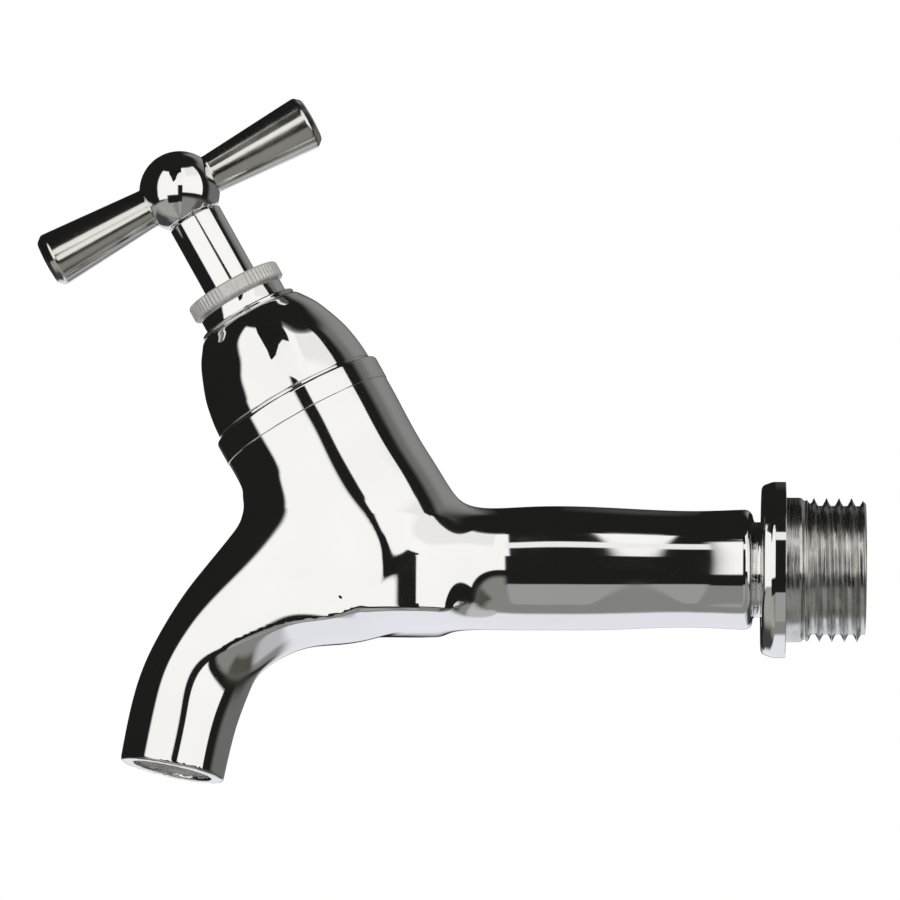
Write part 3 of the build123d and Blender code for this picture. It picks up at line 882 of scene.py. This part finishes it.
cameraData = bpy.data.cameras.new("camera")
cameraData.sensor_width = 36
cameraData.lens = 24000 / 900 * 36
cameraData.clip_start = 0.05
cameraData.clip_end = 20
camera = bpy.data.objects.new("camera", cameraData)
turn = Matrix([[right[axis], upward[axis], -forward[axis]] for axis in range(3)]).to_4x4()
camera.matrix_world = Matrix.Translation(Vector(seat * 0.001)) @ turn
bpy.context.scene.collection.objects.link(camera)
bpy.context.scene.camera = camera

# The studio round the tap, seen only in its chrome. Directions are in degrees: azimuth 0 is towards the
# camera and 90 along X, elevation is up from the horizon.
studio = {
    "radius": 6.0,
    "dark": (0.013, 0.013, 0.0125),
    "softbox": (1.0, 0.985, 0.96),
    "softboxTop": (0.86, 0.855, 0.84),
    "table": (0.24, 0.24, 0.225),
    "tableLeft": (0.36, 0.36, 0.34),
    "tableRight": (0.085, 0.085, 0.07),
    "backdrop": (0.80, 0.81, 0.87),
}


def rising(value, place, soft):
    return value.ramp(place - soft, place + soft)


def within(value, low, high, soft):
    return rising(value, low, soft) * (1.0 - rising(value, high, soft))


def overlaid(layers, first):
    colour = first
    for mask, cover in layers:
        colour = mask.between(colour, cover)
    return colour


def studioColour(place):
    # what each direction shows, from the farthest layer to the nearest
    parts = place.node("ShaderNodeSeparateXYZ", {0: place}).socket.node
    x, y, z = (Wire(place.tree, parts.outputs[axis]) for axis in range(3))
    across = x.math("ARCTAN2", y * -1.0) * (180 / math.pi)
    up = (z * (1 / studio["radius"])).math("ARCSINE") * (180 / math.pi)
    behind = across.math("ABSOLUTE")

    def patch(left, right, low, high, soft, softUp):
        return within(across, left, right, soft) * within(up, low, high, softUp)

    layers = [
        (1.0 - rising(up, -24.0, 5.0), studio["table"]),
        (patch(-92.0, -26.0, -84.0, -19.0, 10.0, 3.0), studio["tableLeft"]),
        (patch(58.0, 128.0, -58.0, -22.0, 9.0, 9.0), studio["tableRight"]),
        (patch(-172.0, -108.0, -64.0, -22.0, 10.0, 8.0), (0.055, 0.055, 0.05)),
        (patch(95.0, 172.0, -14.0, 58.0, 8.0, 6.0), (0.15, 0.15, 0.145)),
        (patch(116.0, 172.0, 20.0, 50.0, 12.0, 10.0), (0.25, 0.25, 0.245)),
        (patch(130.0, 200.0, -77.0, -36.0, 12.0, 4.0), (0.5, 0.5, 0.53)),
        (rising(behind, 163.0, 5.0) * within(up, -76.0, -2.0, 4.0), studio["backdrop"]),
        (patch(-130.0, -50.0, -30.0, -10.0, 6.0, 3.0), studio["dark"]),
        (patch(-40.0, 8.0, -40.0, -15.0, 3.0, 1.0), studio["dark"]),
        (patch(-67.0, -38.0, -26.0, -10.0, 3.0, 1.5), studio["softbox"]),
        (patch(-66.0, -5.0, -18.0, 47.0, 3.0, 2.0), studio["softbox"]),
        (patch(8.0, 69.5, -11.0, 61.0, 1.0, 1.5), studio["softbox"]),
        (patch(8.0, 69.5, 37.0, 61.0, 1.0, 5.0), studio["softboxTop"]),
        (patch(-4.5, 7.0, -38.0, 31.0, 0.8, 1.0), studio["dark"]),
        (patch(5.0, 20.0, 16.0, 61.0, 0.8, 1.0), studio["softbox"]),
        (patch(-4.5, 8.0, 31.5, 42.5, 0.8, 1.0), (0.9, 0.9, 0.88)),
        (patch(-4.5, 7.0, -80.0, -38.0, 0.8, 1.0), (0.33, 0.33, 0.32)),
    ]
    return overlaid(layers, studio["dark"])


def glowing(name, recipe):
    # a surface that shows its own colour and is lit by nothing
    material = bpy.data.materials.new(name)
    material.use_nodes = True
    tree = material.node_tree
    tree.nodes.clear()
    glow = tree.nodes.new("ShaderNodeEmission")
    output = tree.nodes.new("ShaderNodeOutputMaterial")
    tree.links.new(glow.outputs[0], output.inputs[0])
    tree.links.new(recipe(Wire(tree, tree.nodes.new("ShaderNodeTexCoord").outputs["Object"])).socket, glow.inputs[0])
    material.cycles.emission_sampling = "NONE"
    return material


def staged(name, points, faces, material):
    mesh = bpy.data.meshes.new(name)
    mesh.from_pydata(points.tolist(), [], faces)
    mesh.materials.append(material)
    thing = bpy.data.objects.new(name, mesh)
    bpy.context.scene.collection.objects.link(thing)
    return thing


angles, heights = np.meshgrid(np.linspace(0, 2 * math.pi, 97)[:-1], np.linspace(-1, 1, 49) * math.pi / 2)
domePoints = np.stack([np.cos(angles) * np.cos(heights), np.sin(angles) * np.cos(heights), np.sin(heights)], -1)
columns, rows = 96, 48
domeFaces = [
    [row * columns + c, (row + 1) * columns + c, (row + 1) * columns + (c + 1) % columns, row * columns + (c + 1) % columns]
    for row in range(rows)
    for c in range(columns)
]
surround = staged(
    "studioSurround", domePoints.reshape(-1, 3) * studio["radius"], domeFaces, glowing("studioSurround", studioColour)
)
surround.visible_camera = False
surround.visible_diffuse = False
surround.visible_shadow = False
surround.visible_transmission = False


def card(name, corners, nearness, colour):
    # a flat card on the camera's side of the dome; its corners are directions seen from the dome
    turns, rises = np.radians(np.array(corners, float)).T
    reach = 0.2 - nearness
    points = np.column_stack([np.tan(turns), -np.ones(len(turns)), np.tan(rises) / np.cos(turns)]) * reach
    made = staged(name, points + [-0.074, -0.011, 0.032], [list(range(len(corners)))], glowing(name, colour))
    made.visible_camera = made.visible_diffuse = made.visible_shadow = made.visible_transmission = False
    return made


def whiteCard(place):
    return place.noise(2.0, 1.0).ramp(0.3, 0.7).between((0.94, 0.93, 0.91), (1.0, 0.985, 0.96))


def blackCard(place):
    return place.noise(2.0, 1.0).ramp(0.3, 0.7).between((0.012, 0.012, 0.012), (0.015, 0.015, 0.014))


card("domeCardWhite", [(-16, 15), (9, 15), (9, 50), (-16, 50)], 0.0, whiteCard)
wedgeCorners = [(-23.5, 24), (-21.5, 24), (-16, 30), (-14, 38), (-12, 44), (-4, 51), (-46, 51), (-38, 42), (-30, 35)]
card("domeCardBlack", wedgeCorners, 0.005, blackCard)


def paleFloor(place):
    grain = place.noise(3.0, 2.0)
    return {
        "Base Color": grain.ramp(0.3, 0.7).between((0.86, 0.86, 0.86), (0.9, 0.9, 0.9)),
        "Roughness": 0.9,
    }


floorHalf, floorHeight = 8.0, -1.0
floorCorners = np.array([[-1, -1], [1, -1], [1, 1], [-1, 1]]) * floorHalf
floorPoints = np.column_stack([floorCorners, np.full(4, floorHeight)])
floor = staged("paleFloor", floorPoints, [[0, 1, 2, 3]], paint("paleFloor", paleFloor))
floor.visible_glossy = False

world = bpy.data.worlds.new("world")
bpy.context.scene.world = world
world.use_nodes = True
tree = world.node_tree
tree.nodes.clear()
background = tree.nodes.new("ShaderNodeBackground")
worldOut = tree.nodes.new("ShaderNodeOutputWorld")
tree.links.new(background.outputs[0], worldOut.inputs[0])
background.inputs[0].default_value = (1, 1, 1, 1)

bpy.context.scene.view_settings.view_transform = "Standard"
